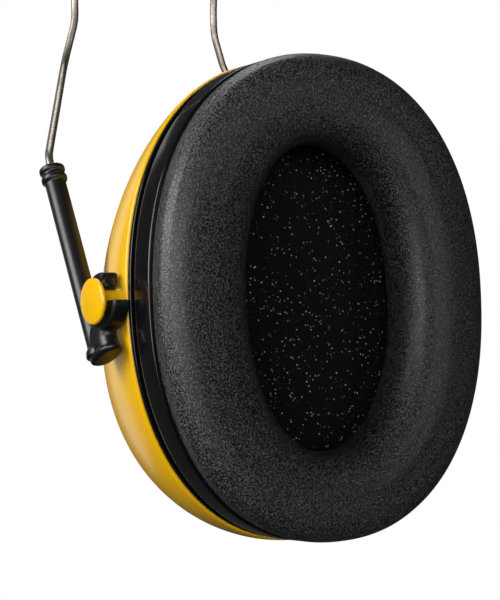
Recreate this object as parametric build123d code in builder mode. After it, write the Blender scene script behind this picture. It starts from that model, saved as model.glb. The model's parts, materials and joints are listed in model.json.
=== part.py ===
"""Hearing protection earmuffs: two padded ear cups on a sprung twin-wire headband.

Frame: +X to the wearer's left, -Y to the front, +Z up, millimetres.
The origin is the middle of the head, halfway between the two ear cups on their pivot axes.
Both cups are the same moulding: the left one is the right one turned half round +Z.
"""
from build123d import *
from math import cos, copysign, pi, radians, sin
import os

# ---- driving dimensions -------------------------------------------------------------------
cup_gap = 100.0            # between the two sealing faces
cup_half_width = 41.0      # front to back, at the rim
cup_half_height = 50.0
outline_power = 2.2        # superellipse exponent of every oval outline
outline_points = 28

opening_half_width = 20.5  # ear opening
opening_half_height = 31.5
cushion_thickness = 12.2
cushion_inset = 0.5        # cushion outline inside the shell's rim outline
cushion_outer_round = 7.0
cushion_inner_round = 6.0
rebate_depth = 8.0         # sealing face to the step where the plate's lip covers the skin
skin_wall = 0.9
foam_thickness = 6.0
layer_clearance = 0.25

plate_thickness = 1.5
plate_inset = 0.2          # plate outline inside the shell's rim outline
plate_bore_margin = 3.0    # plate bore larger than the ear opening
lip_wall = 1.2             # plate's lip round the cushion's outside
lip_edge_round = 0.5
groove_width = 2.2         # between the plate's lip and the shell's rim
groove_depth = 1.8
spigot_length = 3.2
spigot_wall = 1.8
spigot_clearance = 0.3
spigot_draw = 1.3          # extra gap for the dome's taper over the spigot's length

shell_depth = 33.0
shell_wall = 2.2
dome_length = 49.6         # depth at which the dome's section would vanish
dome_power = 1.55
dome_root = 1.86
dome_drop = 10.0           # how far the dome's axis falls over dome_length
dome_sections = 6
shell_back_round = 4.0

liner_front = 2.4          # foam liner's front, behind the cushion plate's back
liner_thickness = 22.0
liner_half_width = 28.5
liner_half_height = 35.5
liner_drop = 3.0

pivot_inset = 3.3          # pivot axis behind the shell's rim
journal_radius = 2.4
journal_clearance = 0.08
stud_head_radius = 4.6
stud_head_thickness = 0.9
stud_head_round = 0.35
clip_clearance = 0.4       # clip to shell side, and clip to stud head
clip_thickness = 3.8
clip_radius = 5.7
clip_mouth = 2.5
web_top = 4.4              # web that joins the clip to the tube
web_inner = 2.4
web_foot_width = 5.0
web_foot_drop = 1.2

wire_radius = 0.85
wire_clearance = 0.06
leg_lean = 24.8            # degrees, leg leans away from the head as it rises
leg_offset = 7.5           # pivot axis to leg axis
tube_radius = 2.2
tube_bore_radius = 1.4
tube_below = 8.5           # along the leg, from the pivot's foot
tube_above = 35.4
tube_neck = 3.6            # narrow bore at the tube's top that holds the wire's head back
collar_radius = 2.65
collar_length = 1.2
foot_radius = 3.1
foot_length = 1.6
wire_head_radius = 1.25
wire_head_length = 2.0
wire_end_gap = 3.0         # tube foot to the wire's end at rest

jog_start = 38.2           # along the leg, from the pivot's foot
jog_start_round = 6.0
knee_half_spacing = 22.7   # wires at the knee, where they turn upright
knee_height = 58.2
knee_round = 10.0
neck_height = 68.6         # wires reach their crown spacing
neck_round = 14.0
arch_half_spacing = 19.5   # the two wires, either side of the middle
arch_reach = 72.2          # wire outside the sealing face where it turns upright
arch_straight = 3.4
arch_side_radius = 36.0
arch_side_angle = 56.0

pad_angle = 46.0           # swept angle of the crown pad
pad_half_width = 25.0
pad_under = 8.0            # pad's underside below the wires' centre line
pad_over = 2.6
pad_round = 2.2
pad_skin = 0.9
foam_angle = 44.4
spreader_thickness = 1.6
spreader_round = 0.3
spreader_angle = 39.0
spreader_clearance = 0.3

# ---- derived places -----------------------------------------------------------------------
plate_front = cushion_thickness + layer_clearance
flange_back = plate_front + plate_thickness
plate_back = flange_back + groove_width
lip_front = rebate_depth + layer_clearance
rebate_inset = plate_inset + lip_wall + layer_clearance
rim_depth = plate_back + layer_clearance
pivot_depth = rim_depth + pivot_inset
clip_inner_y = cup_half_width + clip_clearance
clip_middle_y = clip_inner_y + clip_thickness / 2
stud_head_y = clip_inner_y + clip_thickness + clip_clearance
crown_reach = cup_gap / 2 + arch_reach
arch_top_radius = arch_side_radius + (crown_reach - arch_side_radius) / cos(radians(arch_side_angle))
arch_side_base = neck_height + arch_straight
arch_centre_drop = (arch_top_radius - arch_side_radius) * sin(radians(arch_side_angle))
arch_centre_height = arch_side_base - arch_centre_drop

SIDES = {"right": -1, "left": 1}
ENDS = {"front": -1, "rear": 1}


def cup_plane(side: int, depth: float) -> Plane:
    """Plane parallel to a cup's sealing face, depth outside it, facing the head."""
    return Plane(origin=(side * (cup_gap / 2 + depth), 0, 0), x_dir=(0, -side, 0), z_dir=(-side, 0, 0))


def oval(half_width: float, half_height: float) -> Sketch:
    """Superellipse |x/a|^n + |y/b|^n = 1."""
    def corner(turn: float) -> tuple[float, float]:
        x, y = cos(turn), sin(turn)
        return (
            copysign(half_width * abs(x) ** (2 / outline_power), x),
            copysign(half_height * abs(y) ** (2 / outline_power), y),
        )

    with BuildSketch(mode=Mode.PRIVATE) as outline:
        with BuildLine():
            Spline(*[corner(2 * pi * step / outline_points) for step in range(outline_points)], periodic=True)
        make_face()
    return outline.sketch


def cup_oval(margin: float) -> Sketch:
    """Oval inside the cup's rim outline by margin."""
    return oval(cup_half_width - margin, cup_half_height - margin)


def opening_oval(margin: float) -> Sketch:
    """Oval outside the ear opening by margin."""
    return oval(opening_half_width + margin, opening_half_height + margin)


def dome(side: int, wall: float, depth: float) -> Part:
    """Solid of the cup's dome, moved in by wall, from the rim to depth behind it."""
    with BuildPart(mode=Mode.PRIVATE) as solid:
        for step in range(dome_sections + 1):
            back = depth * step / dome_sections
            share = (1 - (back / dome_length) ** dome_power) ** (1 / dome_root)
            with BuildSketch(cup_plane(side, rim_depth + back)):
                with Locations((0, -dome_drop * back / dome_length)):
                    add(oval(share * cup_half_width - wall, share * cup_half_height - wall))
        loft()
    return solid.part


def rounded_ring(side: int, margin: float) -> Part:
    """Cushion's ring, moved in by margin from its skin's surface: rounded in front, rebated behind."""
    front_wall = rebate_depth - 2 * margin
    head_side = 0 if side > 0 else -1
    with BuildPart(mode=Mode.PRIVATE) as ring:
        with BuildSketch(cup_plane(side, rebate_depth - margin)):
            add(cup_oval(cushion_inset + margin))
            add(opening_oval(margin), mode=Mode.SUBTRACT)
        extrude(amount=front_wall)
        outer_edge = ring.edges().group_by(Axis.X)[head_side].sort_by(SortBy.LENGTH)[-1]
        fillet(outer_edge, min(cushion_outer_round - margin, front_wall - layer_clearance))
        with BuildSketch(cup_plane(side, cushion_thickness)):
            add(cup_oval(rebate_inset + margin))
            add(opening_oval(margin), mode=Mode.SUBTRACT)
        extrude(amount=cushion_thickness - rebate_depth + margin)
        inner_edge = ring.edges().group_by(Axis.X)[head_side].sort_by(SortBy.LENGTH)[0]
        fillet(inner_edge, cushion_inner_round - margin)
    return ring.part


def leg_direction(side: int) -> Vector:
    """Unit vector up a wire leg."""
    return Vector(side * sin(radians(leg_lean)), 0, cos(radians(leg_lean)))


def leg_normal(side: int) -> Vector:
    """Unit vector from the pivot axis straight out to the leg."""
    return Vector(side * cos(radians(leg_lean)), 0, -sin(radians(leg_lean)))


def pivot_point(side: int, y: float) -> Vector:
    """Point on a cup's pivot axis."""
    return Vector(side * (cup_gap / 2 + pivot_depth), y, 0)


def leg_point(side: int, end: int, along: float) -> Vector:
    """Point on a wire leg, measured up from the pivot's foot."""
    foot = pivot_point(side, end * clip_middle_y) + leg_normal(side) * leg_offset
    return foot + leg_direction(side) * along


def leg_plane(side: int, end: int, along: float) -> Plane:
    """Plane square to a leg, facing up it."""
    return Plane(origin=leg_point(side, end, along), x_dir=(0, 1, 0), z_dir=leg_direction(side))


def finish(part: Part, name: str) -> None:
    """Label a finished piece and write its file."""
    part.label = name
    export_step(part, f"parts/{name}.step")


def make_shell(side: int, name: str) -> None:
    """Hollow moulded cup with a stud on each side for the wire guides."""
    with BuildPart() as shell:
        add(dome(side, 0, shell_depth))
        fillet(shell.faces().sort_by(Axis.X)[-1 if side > 0 else 0].edges(), shell_back_round)
        add(dome(side, shell_wall, shell_depth - shell_wall), mode=Mode.SUBTRACT)
        for end in ENDS.values():
            add(stud(side, end))
    finish(shell.part, name)


def stud(side: int, end: int) -> Part:
    """Journal and head that a wire guide's clip turns on."""
    root_y = end * (cup_half_width - shell_wall - 1)
    out = (0, end, 0)
    with BuildPart(mode=Mode.PRIVATE) as pin:
        with BuildSketch(Plane(origin=pivot_point(side, end * stud_head_y), x_dir=(1, 0, 0), z_dir=out)):
            Circle(stud_head_radius)
        extrude(amount=stud_head_thickness)
        fillet(pin.edges(), stud_head_round)
        with BuildSketch(Plane(origin=pivot_point(side, root_y), x_dir=(1, 0, 0), z_dir=out)):
            Circle(journal_radius)
        extrude(amount=stud_head_y - abs(root_y) + stud_head_round)
    return pin.part


def make_plate(side: int, name: str) -> None:
    """Stiff dish round the cushion, with a groove behind its lip, that snaps into the shell's rim."""
    spigot_margin = shell_wall + spigot_clearance + spigot_draw
    spigot_back = plate_back + spigot_length
    with BuildPart() as plate:
        with BuildSketch(cup_plane(side, flange_back)):
            add(cup_oval(plate_inset))
        extrude(amount=flange_back - lip_front)
        fillet(plate.edges().filter_by(GeomType.LINE, reverse=True), lip_edge_round)
        with BuildSketch(cup_plane(side, plate_back)):
            add(cup_oval(plate_inset + groove_depth))
        extrude(amount=plate_back - plate_front)
        with BuildSketch(cup_plane(side, spigot_back)):
            add(cup_oval(spigot_margin))
        extrude(amount=spigot_back - plate_front)
        with BuildSketch(cup_plane(side, plate_front)):
            add(cup_oval(plate_inset + lip_wall))
        extrude(amount=plate_front, mode=Mode.SUBTRACT)
        with BuildSketch(cup_plane(side, spigot_back)):
            add(cup_oval(spigot_margin + spigot_wall))
        extrude(amount=spigot_back - flange_back, mode=Mode.SUBTRACT)
        with BuildSketch(cup_plane(side, flange_back)):
            add(opening_oval(plate_bore_margin))
        extrude(amount=plate_thickness, mode=Mode.SUBTRACT)
    finish(plate.part, name)


def make_cushion(side: int, prefix: str) -> None:
    """Vinyl skin with a foam ring and a fluid bladder inside it."""
    with BuildPart() as cover:
        add(rounded_ring(side, 0))
        add(rounded_ring(side, skin_wall), mode=Mode.SUBTRACT)
    finish(cover.part, f"{prefix}_cushion_cover")
    foam_margin = skin_wall + layer_clearance
    foam_back = foam_margin + foam_thickness
    with BuildPart() as foam:
        add(rounded_ring(side, foam_margin))
        split(bisect_by=cup_plane(side, foam_back), keep=Keep.TOP)
    finish(foam.part, f"{prefix}_cushion_foam")
    with BuildPart() as bladder:
        with BuildSketch(cup_plane(side, cushion_thickness)):
            add(cup_oval(rebate_inset + foam_margin))
            add(opening_oval(foam_margin), mode=Mode.SUBTRACT)
        extrude(amount=cushion_thickness - foam_back - layer_clearance)
    finish(bladder.part, f"{prefix}_cushion_bladder")


def make_liner(side: int, name: str) -> None:
    """Open-cell foam block that fills the cup behind the cushion plate."""
    with BuildPart() as liner:
        with BuildSketch(cup_plane(side, plate_back + liner_front + liner_thickness)):
            with Locations((0, -liner_drop)):
                add(oval(liner_half_width, liner_half_height))
        extrude(amount=liner_thickness)
    finish(liner.part, name)


def make_guide(side: int, end: int, name: str) -> None:
    """Wire guide: a tube that slides on the wire leg, with a clip that snaps on the cup's stud."""
    clip_plane = Plane(origin=pivot_point(side, end * clip_middle_y), x_dir=leg_normal(side), z_dir=(0, -side, 0))
    web_corners = [
        (leg_offset, web_top),
        (0, web_top),
        (-web_inner, -web_top),
        (leg_offset - web_foot_width, -tube_below - web_foot_drop),
        (leg_offset, -tube_below),
    ]
    with BuildPart() as guide:
        with BuildSketch(clip_plane):
            Circle(clip_radius)
            with BuildLine():
                Polyline(*web_corners, close=True)
            make_face()
        extrude(amount=clip_thickness / 2, both=True)
        with BuildSketch(leg_plane(side, end, -tube_below)):
            Circle(tube_radius)
        extrude(amount=tube_below + tube_above)
        with BuildSketch(leg_plane(side, end, -tube_below)):
            Circle(foot_radius)
        extrude(amount=foot_length)
        for step in (1, 3):
            with BuildSketch(leg_plane(side, end, tube_above - step * collar_length)):
                Circle(collar_radius)
            extrude(amount=collar_length)
        with BuildSketch(clip_plane):
            Circle(journal_radius + journal_clearance)
            with Locations((-clip_radius, 0)):
                Rectangle(2 * clip_radius, clip_mouth)
        extrude(amount=clip_thickness, both=True, mode=Mode.SUBTRACT)
        with BuildSketch(leg_plane(side, end, foot_length - tube_below)):
            Circle(tube_bore_radius)
        extrude(amount=tube_below + tube_above - foot_length - tube_neck, mode=Mode.SUBTRACT)
        with BuildSketch(leg_plane(side, end, 0)):
            Circle(wire_radius + wire_clearance)
        extrude(amount=2 * tube_above, mode=Mode.SUBTRACT)
    finish(guide.part, name)


def make_wire(end: int, name: str) -> None:
    """Spring-steel wire from one cup's guide, over the crown, to the other's."""
    y_top = end * arch_half_spacing
    spring = radians(arch_side_angle)
    tops = {}
    for side in SIDES.values():
        turn_x = side * (crown_reach - arch_side_radius + arch_side_radius * cos(spring))
        tops[side] = Vector(turn_x, y_top, arch_side_base + arch_side_radius * sin(spring))
    crown = Vector(0, y_top, arch_centre_height + arch_top_radius)
    wire_end = wire_end_gap - tube_below
    with BuildPart() as wire:
        with BuildLine():
            for side in SIDES.values():
                arch_foot = Vector(side * crown_reach, y_top, arch_side_base)
                FilletPolyline(
                    leg_point(side, end, wire_end),
                    leg_point(side, end, jog_start),
                    Vector(side * crown_reach, end * knee_half_spacing, knee_height),
                    Vector(side * crown_reach, y_top, neck_height),
                    arch_foot,
                    radius=[jog_start_round, knee_round, neck_round],
                )
                TangentArc(arch_foot, tops[side], tangent=(0, 0, 1))
            ThreePointArc(tops[-1], crown, tops[1])
        with BuildSketch(leg_plane(-1, end, wire_end)):
            Circle(wire_radius)
        sweep()
        for side in SIDES.values():
            with BuildSketch(leg_plane(side, end, wire_end)):
                Circle(wire_head_radius)
            extrude(amount=wire_head_length)
    finish(wire.part, name)


def crown_band(angle: float, half_width: float, low: float, high: float, corner: float) -> Part:
    """Band of rounded rectangular section that follows the crown arc, low to high from the wires."""
    start = Plane(
        origin=(0, 0, arch_centre_height),
        x_dir=(0, 1, 0),
        z_dir=(cos(radians(angle / 2)), 0, sin(radians(angle / 2))),
    )
    with BuildPart(mode=Mode.PRIVATE) as band:
        with BuildSketch(start):
            with Locations((0, arch_top_radius + (low + high) / 2)):
                RectangleRounded(2 * half_width, high - low, corner)
        revolve(axis=Axis((0, 0, arch_centre_height), (0, 1, 0)), revolution_arc=angle)
    return band.part


def make_headband() -> None:
    """Crown pad: vinyl sleeve over the wires, foam under them and a spreader between them."""
    inner_low = pad_skin - pad_under
    with BuildPart() as sleeve:
        add(crown_band(pad_angle, pad_half_width, -pad_under, pad_over, pad_round))
        hollow = crown_band(pad_angle, pad_half_width - pad_skin, inner_low, pad_over - pad_skin, pad_round - pad_skin)
        add(hollow, mode=Mode.SUBTRACT)
    finish(sleeve.part, "headband_sleeve")
    foam_half_width = pad_half_width - pad_skin - layer_clearance
    foam_low = inner_low + layer_clearance
    foam_high = -wire_radius - layer_clearance
    with BuildPart() as foam:
        add(crown_band(foam_angle, foam_half_width, foam_low, foam_high, pad_round - pad_skin))
    finish(foam.part, "headband_foam")
    spreader_half_width = arch_half_spacing - wire_radius - spreader_clearance
    half = spreader_thickness / 2
    with BuildPart() as spreader:
        add(crown_band(spreader_angle, spreader_half_width, -half, half, spreader_round))
    finish(spreader.part, "headband_spreader")


os.makedirs("parts", exist_ok=True)
for side_name, side_sign in SIDES.items():
    make_shell(side_sign, f"{side_name}_shell")
    make_plate(side_sign, f"{side_name}_cushion_plate")
    make_cushion(side_sign, side_name)
    make_liner(side_sign, f"{side_name}_foam_liner")
    for end_name, end_sign in ENDS.items():
        make_guide(side_sign, end_sign, f"{side_name}_{end_name}_guide")
for end_name, end_sign in ENDS.items():
    make_wire(end_sign, f"{end_name}_wire")
make_headband()
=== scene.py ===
"""Looks for a pair of hearing protection earmuffs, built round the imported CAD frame.

Everything is in metres in the CAD frame: +X to the wearer's left, -Y to the front, +Z up, with the
origin in the middle of the head. Each ear cup has its own directions: across (front to back), up, and
out (away from the head), measured from the middle of its sealing face.
"""

import json
import logging
import math
from dataclasses import dataclass, field
from enum import Enum

import bpy
import numpy as np
from mathutils import Matrix, Vector


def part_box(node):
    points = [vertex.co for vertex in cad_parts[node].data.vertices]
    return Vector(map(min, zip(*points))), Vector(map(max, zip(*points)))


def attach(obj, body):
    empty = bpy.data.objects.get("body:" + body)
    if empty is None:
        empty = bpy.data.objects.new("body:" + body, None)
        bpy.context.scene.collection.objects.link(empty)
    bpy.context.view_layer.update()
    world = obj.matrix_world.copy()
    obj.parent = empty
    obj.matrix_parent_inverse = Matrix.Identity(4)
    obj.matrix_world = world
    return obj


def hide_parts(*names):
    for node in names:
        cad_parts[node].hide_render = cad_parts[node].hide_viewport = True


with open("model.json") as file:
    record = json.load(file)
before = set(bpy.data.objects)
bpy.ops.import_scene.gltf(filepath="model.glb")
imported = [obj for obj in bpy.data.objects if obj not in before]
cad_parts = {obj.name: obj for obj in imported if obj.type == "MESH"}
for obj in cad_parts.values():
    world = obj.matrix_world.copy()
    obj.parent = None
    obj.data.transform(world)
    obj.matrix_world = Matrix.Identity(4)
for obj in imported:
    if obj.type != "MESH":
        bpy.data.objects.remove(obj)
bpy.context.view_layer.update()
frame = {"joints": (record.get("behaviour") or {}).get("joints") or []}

LOG = logging.getLogger("earmuffs")
MM = 0.001
PLATE_INSET = 0.2 * MM  # the plate's outline lies this far inside the shell's


class Side(Enum):
    """Which ear a cup covers; the value is the sign of its x."""

    RIGHT = -1
    LEFT = 1

    @property
    def word(self) -> str:
        """The side's word in node and body names."""
        return self.name.lower()


class End(Enum):
    """Front or rear; the value is the sign of y."""

    FRONT = -1
    REAR = 1

    @property
    def word(self) -> str:
        """The end's word in node and body names."""
        return self.name.lower()


class Slot(Enum):
    """Material slots of the record."""

    YELLOW = "yellow_plastic"
    GLOSS = "black_gloss_plastic"
    PLASTIC = "black_plastic"
    VINYL = "black_vinyl"
    FOAM = "dark_foam"
    STEEL = "spring_steel"


# ---- shader sheets ------------------------------------------------------------------------


class Signal:
    """A node socket that takes part in Python arithmetic."""

    def __init__(self, sheet: "ShaderSheet", socket: bpy.types.NodeSocket) -> None:
        """Hold the sheet that the socket belongs to, and the socket."""
        self.sheet = sheet
        self.socket = socket

    def __add__(self, other: "Signal | float") -> "Signal":
        """Sum."""
        return self.sheet.maths("ADD", self, other)

    __radd__ = __add__

    def __mul__(self, other: "Signal | float") -> "Signal":
        """Product."""
        return self.sheet.maths("MULTIPLY", self, other)

    __rmul__ = __mul__

    def __rsub__(self, other: float) -> "Signal":
        """Reflected difference, such as 1 - mask."""
        return self.sheet.maths("SUBTRACT", other, self)

    def band(self, low: float, high: float) -> "Signal":
        """Smooth step: 0 below low, 1 above high; high may be the lower one to turn it round.

        Args:
            low: value that gives 0.
            high: value that gives 1.

        Returns:
            The step as a signal.
        """
        return self.sheet.add(
            "ShaderNodeMapRange",
            {"interpolation_type": "SMOOTHSTEP"},
            {"Value": self, "From Min": low, "From Max": high},
        )


class ShaderSheet:
    """A material's node tree with a Principled shader, filled in by short calls."""

    def __init__(self, name: str) -> None:
        """Start an empty material of that name."""
        self.material = bpy.data.materials.new(name)
        self.material.use_nodes = True
        self.tree = self.material.node_tree
        self.tree.nodes.clear()
        self.shader = self.tree.nodes.new("ShaderNodeBsdfPrincipled")
        output = self.tree.nodes.new("ShaderNodeOutputMaterial")
        self.tree.links.new(self.shader.outputs["BSDF"], output.inputs["Surface"])

    def add(self, kind: str, settings: dict, inputs: dict, output: str | int = 0) -> Signal:
        """Add any node.

        Args:
            kind: the node's type name.
            settings: properties that are set first.
            inputs: values or signals by socket name or index.
            output: the socket that is handed back.

        Returns:
            The chosen output as a signal.
        """
        node = self.tree.nodes.new(kind)
        for key, value in settings.items():
            setattr(node, key, value)
        for key, value in inputs.items():
            self._feed(node.inputs[key], value)
        return Signal(self, node.outputs[output])

    def _feed(self, socket: bpy.types.NodeSocket, value: "Signal | float | tuple") -> None:
        """Link a signal to a socket, or set the socket's own value.

        Args:
            socket: input that is fed.
            value: signal, number or colour.
        """
        if isinstance(value, Signal):
            self.tree.links.new(value.socket, socket)
        elif isinstance(value, tuple) and len(value) == 3 and socket.type == "RGBA":
            socket.default_value = (*value, 1.0)
        else:
            socket.default_value = value

    def maths(self, operation: str, first: "Signal | float", second: "Signal | float") -> Signal:
        """Add a Math node with that operation."""
        return self.add("ShaderNodeMath", {"operation": operation}, {0: first, 1: second})

    def place(self, stretch: tuple[float, float, float] = (1.0, 1.0, 1.0)) -> Signal:
        """Object coordinates, scaled along each axis."""
        raw = self.add("ShaderNodeTexCoord", {}, {}, "Object")
        return self.add("ShaderNodeMapping", {}, {"Vector": raw, "Scale": stretch})

    def noise(self, place: Signal, scale: float, detail: float = 2.0, roughness: float = 0.5) -> Signal:
        """Noise texture's grey value."""
        return self.add(
            "ShaderNodeTexNoise",
            {},
            {"Vector": place, "Scale": scale, "Detail": detail, "Roughness": roughness},
        )

    def cells(self, place: Signal, scale: float, feature: str = "F1", output: str = "Distance") -> Signal:
        """Voronoi texture."""
        inputs = {"Vector": place, "Scale": scale}
        return self.add("ShaderNodeTexVoronoi", {"feature": feature}, inputs, output)

    def blend(self, share: "Signal | float", first: "Signal | tuple", second: "Signal | tuple") -> Signal:
        """Colour mix from first, at share 0, to second, at share 1."""
        return self.add(
            "ShaderNodeMix", {"data_type": "RGBA"}, {"Factor": share, 6: first, 7: second}, 2
        )

    def relief(self, height: Signal, depth: float, under: Signal | None = None) -> Signal:
        """Bump of a height field, depth metres high, over another bump.

        Args:
            height: height field, from 0 to 1.
            depth: height of 1 in metres.
            under: bump that lies below this one.

        Returns:
            The bumped normal.
        """
        inputs = {"Height": height, "Distance": depth, "Strength": 1.0}
        if under is not None:
            inputs["Normal"] = under
        return self.add("ShaderNodeBump", {}, inputs)

    def finish(self, **sockets: "Signal | float | tuple") -> bpy.types.Material:
        """Feed the Principled shader's sockets, named with underscores for spaces.

        Args:
            sockets: socket names and their values or signals.

        Returns:
            The finished material.
        """
        for key, value in sockets.items():
            self._feed(self.shader.inputs[key.replace("_", " ")], value)
        return self.material


@dataclass(frozen=True)
class MouldedPlastic:
    """Injection-moulded plastic: faint orange peel, fine grain and rubbed marks."""

    name: str
    colour: tuple[float, float, float]
    deep_colour: tuple[float, float, float]
    roughness: float
    grain_scale: float
    grain_depth: float
    peel_depth: float
    scuff: float
    coat: float = 0.0

    def build(self) -> bpy.types.Material:
        """Return the material: colour drifts slowly to deep_colour, and marks lift the roughness.

        Returns:
            The finished material.
        """
        sheet = ShaderSheet(self.name)
        place = sheet.place()
        drift = sheet.noise(place, 38.0, 3.0).band(0.35, 0.75)
        streaks = sheet.noise(sheet.place((1.0, 1.0, 0.12)), 900.0, 4.0, 0.7).band(0.58, 0.74)
        grain = sheet.noise(place, self.grain_scale, 2.0, 0.6)
        peel = sheet.noise(place, 260.0, 1.0)
        smudge = sheet.noise(place, 75.0, 5.0, 0.65).band(0.45, 0.7)
        colour = sheet.blend(drift, self.colour, self.deep_colour)
        rough = self.roughness + streaks * self.scuff + smudge * (self.scuff * 0.6) + grain * 0.04
        bump = sheet.relief(peel, self.peel_depth, sheet.relief(grain, self.grain_depth))
        return sheet.finish(
            Base_Color=colour, Roughness=rough, Normal=bump, Coat_Weight=self.coat,
            Coat_Roughness=0.08, IOR=1.5,
        )


@dataclass(frozen=True)
class GrainedVinyl:
    """Soft vinyl skin with a fine leather grain; its crests get a painted highlight, a lighter base colour.
    """

    name: str
    colour: tuple[float, float, float]
    # lighter base colour painted on the grain's crests as a highlight
    crest_colour: tuple[float, float, float]
    roughness: float
    grain_scale: float
    grain_depth: float
    gleam: float

    def build(self) -> bpy.types.Material:
        """Return the material: cells with soft valleys, a finer speckle and slow roughness drift; the crests
        get a painted highlight in the base colour.

        Returns:
            The finished material.
        """
        sheet = ShaderSheet(self.name)
        place = sheet.place()
        pebble = sheet.cells(place, self.grain_scale, "F1").band(0.12, 0.75)
        speckle = sheet.noise(place, self.grain_scale * 1.2, 2.0, 0.75)
        crease = sheet.noise(place, 210.0, 3.0, 0.6)
        drift = sheet.noise(place, 45.0, 2.0)
        crest = (1 - pebble) * 0.3 + speckle.band(0.42, 0.60) * 0.7
        # painted highlight: the base colour lightens on the grain's crests, standing in for light caught
        # there
        colour = sheet.blend(crest.band(0.45, 0.95), self.colour, self.crest_colour)
        rough = self.roughness + crest * 0.22 + drift * 0.05
        fine = sheet.relief(crest, self.grain_depth)
        bump = sheet.relief(crease, self.grain_depth * 0.6, fine)
        return sheet.finish(
            Base_Color=colour, Roughness=rough, Normal=bump, Specular_IOR_Level=self.gleam,
        )


@dataclass(frozen=True)
class OpenFoam:
    """Open-cell foam: black pores between thin struts, and a sparse few smooth cells with a painted glint."""

    name: str
    colour: tuple[float, float, float]
    strut_colour: tuple[float, float, float]
    # near-white base colour of the painted glints
    glint_colour: tuple[float, float, float]
    cell_scale: float
    cell_depth: float

    def build(self) -> bpy.types.Material:
        """Return the material: cell edges are struts, and a sparse random few are smooth and get a painted
        glint, a near-white base colour.

        Returns:
            The finished material.
        """
        sheet = ShaderSheet(self.name)
        place = sheet.place()
        edge = sheet.cells(place, self.cell_scale, "DISTANCE_TO_EDGE")
        strut = edge.band(0.12, 0.02)
        film = sheet.cells(place, self.cell_scale * 1.35, "F1")
        patch = sheet.noise(place, 260.0, 2.0)
        draw = sheet.add(
            "ShaderNodeTexWhiteNoise",
            {"noise_dimensions": "3D"},
            {"Vector": sheet.cells(place, self.cell_scale * 1.35, "F1", "Position")},
            "Value",
        )
        glint = film.band(0.38, 0.08) * (draw + patch * 0.35).band(0.96, 1.03)
        base = sheet.blend(strut * 0.8, self.colour, self.strut_colour)
        # painted glint: the chosen cells' base colour turns near-white, standing in for light caught on them
        colour = sheet.blend(glint, base, self.glint_colour)
        rough = 0.85 - glint * 0.5
        height = strut + film * 0.8
        return sheet.finish(
            Base_Color=colour, Roughness=rough, Normal=sheet.relief(height, self.cell_depth),
            Specular_IOR_Level=0.22,
        )


@dataclass(frozen=True)
class DrawnSteel:
    """Cold-drawn spring wire: fine lines along it and a warm oxide tint in places."""

    name: str
    colour: tuple[float, float, float]
    tint: tuple[float, float, float]
    roughness: float

    def build(self) -> bpy.types.Material:
        """Return the material, with drawing lines along the wire's own UV length.

        Returns:
            The finished material.
        """
        sheet = ShaderSheet(self.name)
        along = sheet.add("ShaderNodeUVMap", {"uv_map": "UVMap"}, {})
        drawn = sheet.add("ShaderNodeMapping", {}, {"Vector": along, "Scale": (30.0, 2.0, 1.0)})
        lines = sheet.noise(drawn, 12.0, 4.0)
        blotch = sheet.noise(sheet.place(), 190.0, 3.0).band(0.42, 0.7)
        colour = sheet.blend(blotch, self.colour, self.tint)
        rough = self.roughness + lines * 0.22 + blotch * 0.08
        return sheet.finish(
            Base_Color=colour, Metallic=1.0, Roughness=rough, Normal=sheet.relief(lines, 0.00001)
        )


YELLOW_ABS = MouldedPlastic(
    name="yellow_shell_plastic",
    colour=(0.84, 0.475, 0.0005),
    deep_colour=(0.80, 0.43, 0.0005),
    roughness=0.24,
    grain_scale=5200.0,
    grain_depth=0.000004,
    peel_depth=0.000006,
    scuff=0.03,
    coat=0.1,
)
BLACK_GLOSS = MouldedPlastic(
    name="black_rim_plastic",
    colour=(0.004, 0.004, 0.005),
    deep_colour=(0.003, 0.003, 0.004),
    roughness=0.12,
    grain_scale=4200.0,
    grain_depth=0.000004,
    peel_depth=0.00001,
    scuff=0.08,
    coat=0.2,
)
BLACK_SATIN = MouldedPlastic(
    name="black_guide_plastic",
    colour=(0.005, 0.005, 0.006),
    deep_colour=(0.003, 0.003, 0.004),
    roughness=0.32,
    grain_scale=6500.0,
    grain_depth=0.00001,
    peel_depth=0.00001,
    scuff=0.12,
)
CUSHION_VINYL = GrainedVinyl(
    name="cushion_vinyl",
    colour=(0.002, 0.0024, 0.003),
    crest_colour=(0.094, 0.101, 0.110),
    # painted highlight colour on the cushion grain's crests
    roughness=0.25,
    grain_scale=2300.0,
    grain_depth=0.00006,
    gleam=0.66,
)
BAND_VINYL = GrainedVinyl(
    name="headband_vinyl",
    colour=(0.004, 0.0045, 0.005),
    # painted highlight colour on the headband grain's crests
    crest_colour=(0.024, 0.026, 0.029),
    roughness=0.30,
    grain_scale=1500.0,
    grain_depth=0.00008,
    gleam=0.5,
)
LINER_FOAM = OpenFoam(
    name="liner_foam",
    colour=(0.0012, 0.0014, 0.0015),
    strut_colour=(0.009, 0.010, 0.010),
    # near-white base colour of the painted glints
    glint_colour=(0.75, 0.80, 0.80),
    cell_scale=1150.0,
    cell_depth=0.0004,
)
WIRE_STEEL = DrawnSteel(
    name="spring_wire_steel",
    colour=(0.34, 0.31, 0.27),
    tint=(0.22, 0.19, 0.155),
    roughness=0.30,
)


# ---- surfaces -----------------------------------------------------------------------------


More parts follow.
